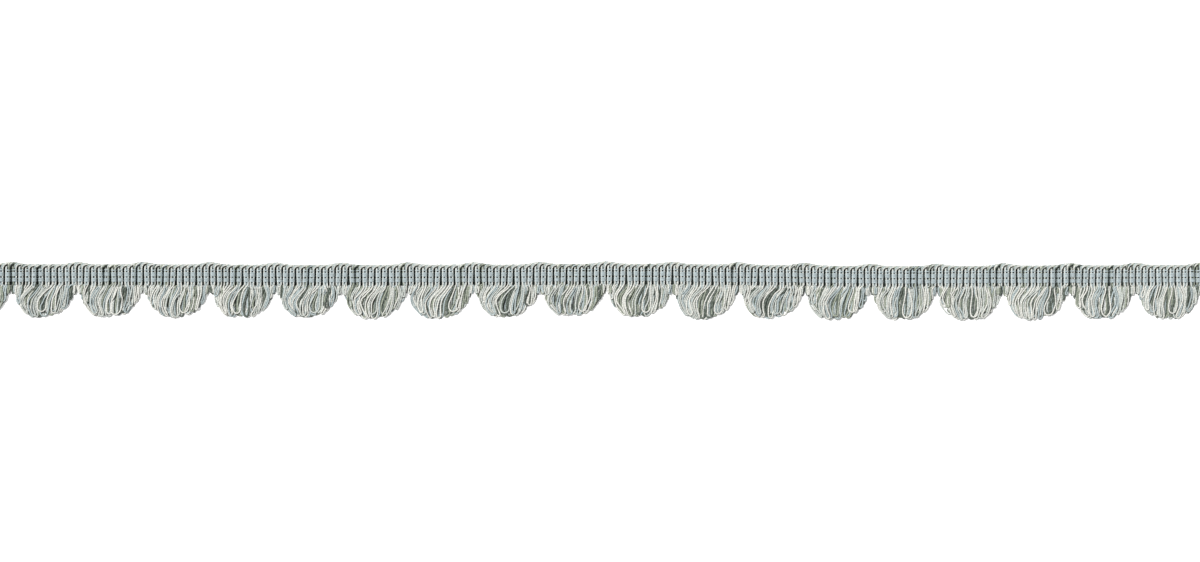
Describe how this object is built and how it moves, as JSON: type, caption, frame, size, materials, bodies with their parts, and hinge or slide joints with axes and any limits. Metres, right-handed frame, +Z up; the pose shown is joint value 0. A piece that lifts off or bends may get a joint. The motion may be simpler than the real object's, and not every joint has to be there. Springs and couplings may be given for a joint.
{
  "type": "fan edge trim",
  "caption": "Cut length of woven fan edge trim: a ribbed heading with a rolled edge and a skirt of yarn loops in scalloped fans, laid flat.",
  "frame": {"origin": "middle of the trim's box, on the surface that it lies on", "axes": "+X along the trim, +Y across it towards the rolled edge of the heading, +Z up out of its face"},
  "size_m": [0.651, 0.0312, 0.0031],
  "materials": {
    "heading_weave": "matt ribbed weave, pale blue warp over grey green weft",
    "fan_yarn": "soft two-ply yarn in pale blue grey, sage, ecru and grey"
  },
  "bodies": {
    "root": {"heading": "heading_weave", "fan_cut_left": "fan_yarn", "fan_01": "fan_yarn", "fan_02": "fan_yarn", "fan_03": "fan_yarn", "fan_04": "fan_yarn", "fan_05": "fan_yarn", "fan_06": "fan_yarn", "fan_07": "fan_yarn", "fan_08": "fan_yarn", "fan_09": "fan_yarn", "fan_10": "fan_yarn", "fan_11": "fan_yarn", "fan_12": "fan_yarn", "fan_13": "fan_yarn", "fan_14": "fan_yarn", "fan_15": "fan_yarn", "fan_16": "fan_yarn", "fan_17": "fan_yarn", "fan_18": "fan_yarn", "fan_cut_right": "fan_yarn"}
  },
  "joints": []
}
